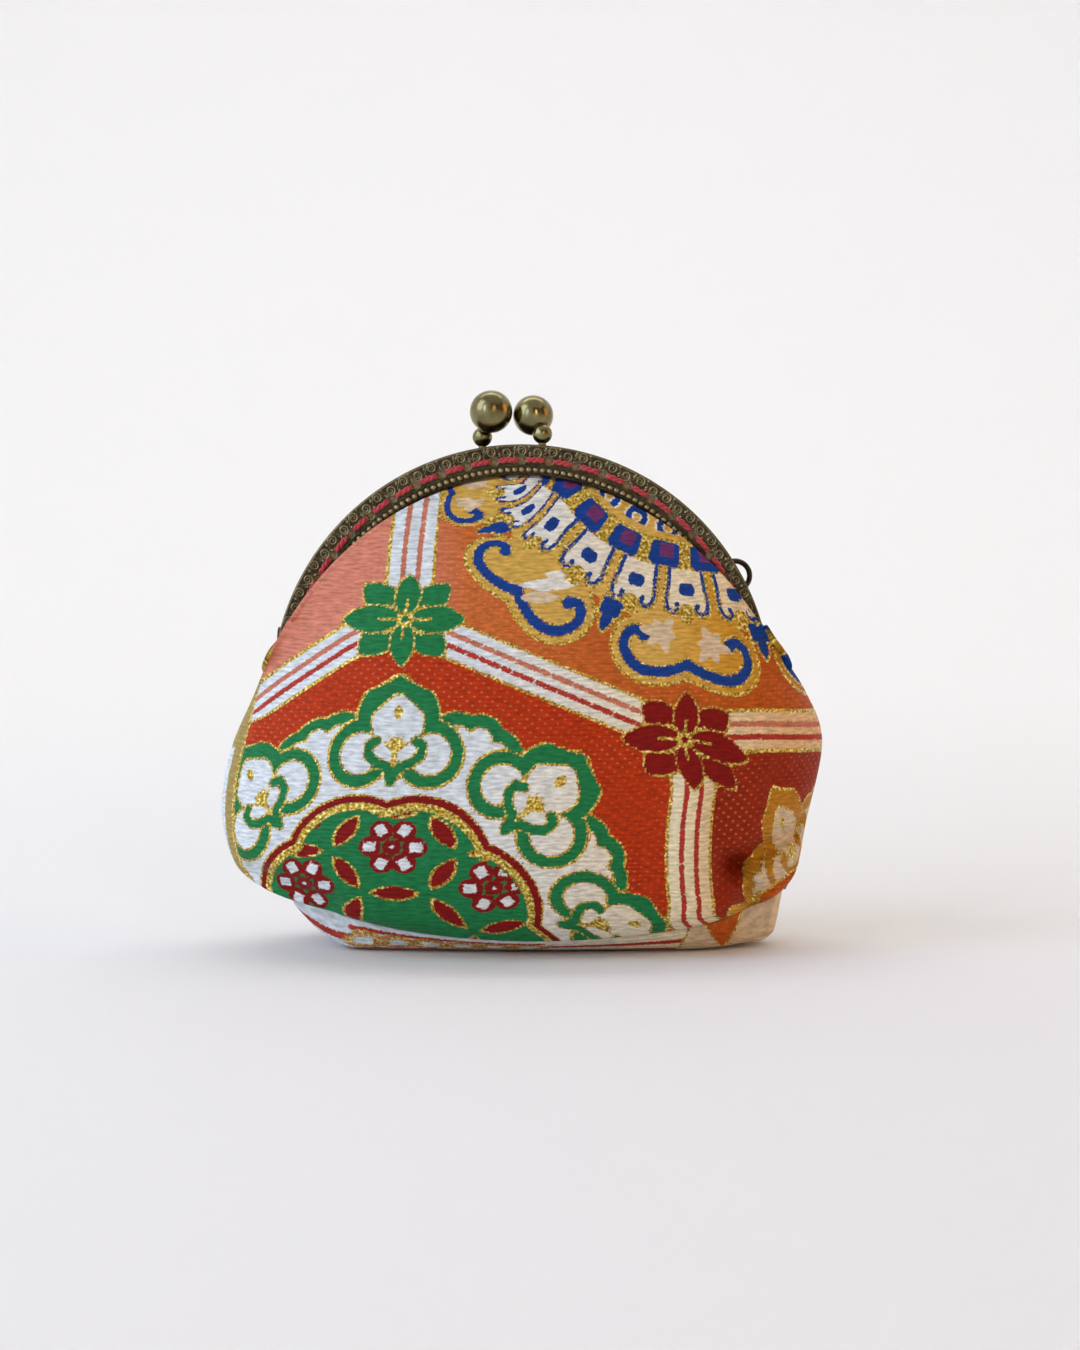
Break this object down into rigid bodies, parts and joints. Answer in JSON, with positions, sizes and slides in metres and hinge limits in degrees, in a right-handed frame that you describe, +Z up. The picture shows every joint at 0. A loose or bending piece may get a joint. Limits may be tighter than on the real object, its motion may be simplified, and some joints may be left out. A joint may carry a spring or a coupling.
{
  "type": "clasp coin purse",
  "caption": "Small puffed brocade coin purse sewn into an arched brass frame that closes with a pair of kissing ball knobs, standing on a flat base panel.",
  "frame": {"origin": "middle of the part's box, on the surface that the base panel stands on", "axes": "+Z up towards the clasp, -Y out of the front panel, +X to the right as seen from the front"},
  "size_m": [0.1064, 0.049, 0.0975],
  "materials": {
    "antique_brass": "antiqued, stamped relief with dark recesses",
    "knob_brass": "antiqued, polished",
    "silk_brocade": "figured silk weave with gold thread"
  },
  "bodies": {
    "root": {"frame_front": "antique_brass", "frame_back": "antique_brass", "clasp_knob_front": "knob_brass", "clasp_knob_back": "knob_brass", "hinge_rivet_left": "antique_brass", "hinge_rivet_right": "antique_brass", "pouch_front": "silk_brocade", "pouch_back": "silk_brocade", "pouch_base": "silk_brocade"}
  },
  "joints": []
}
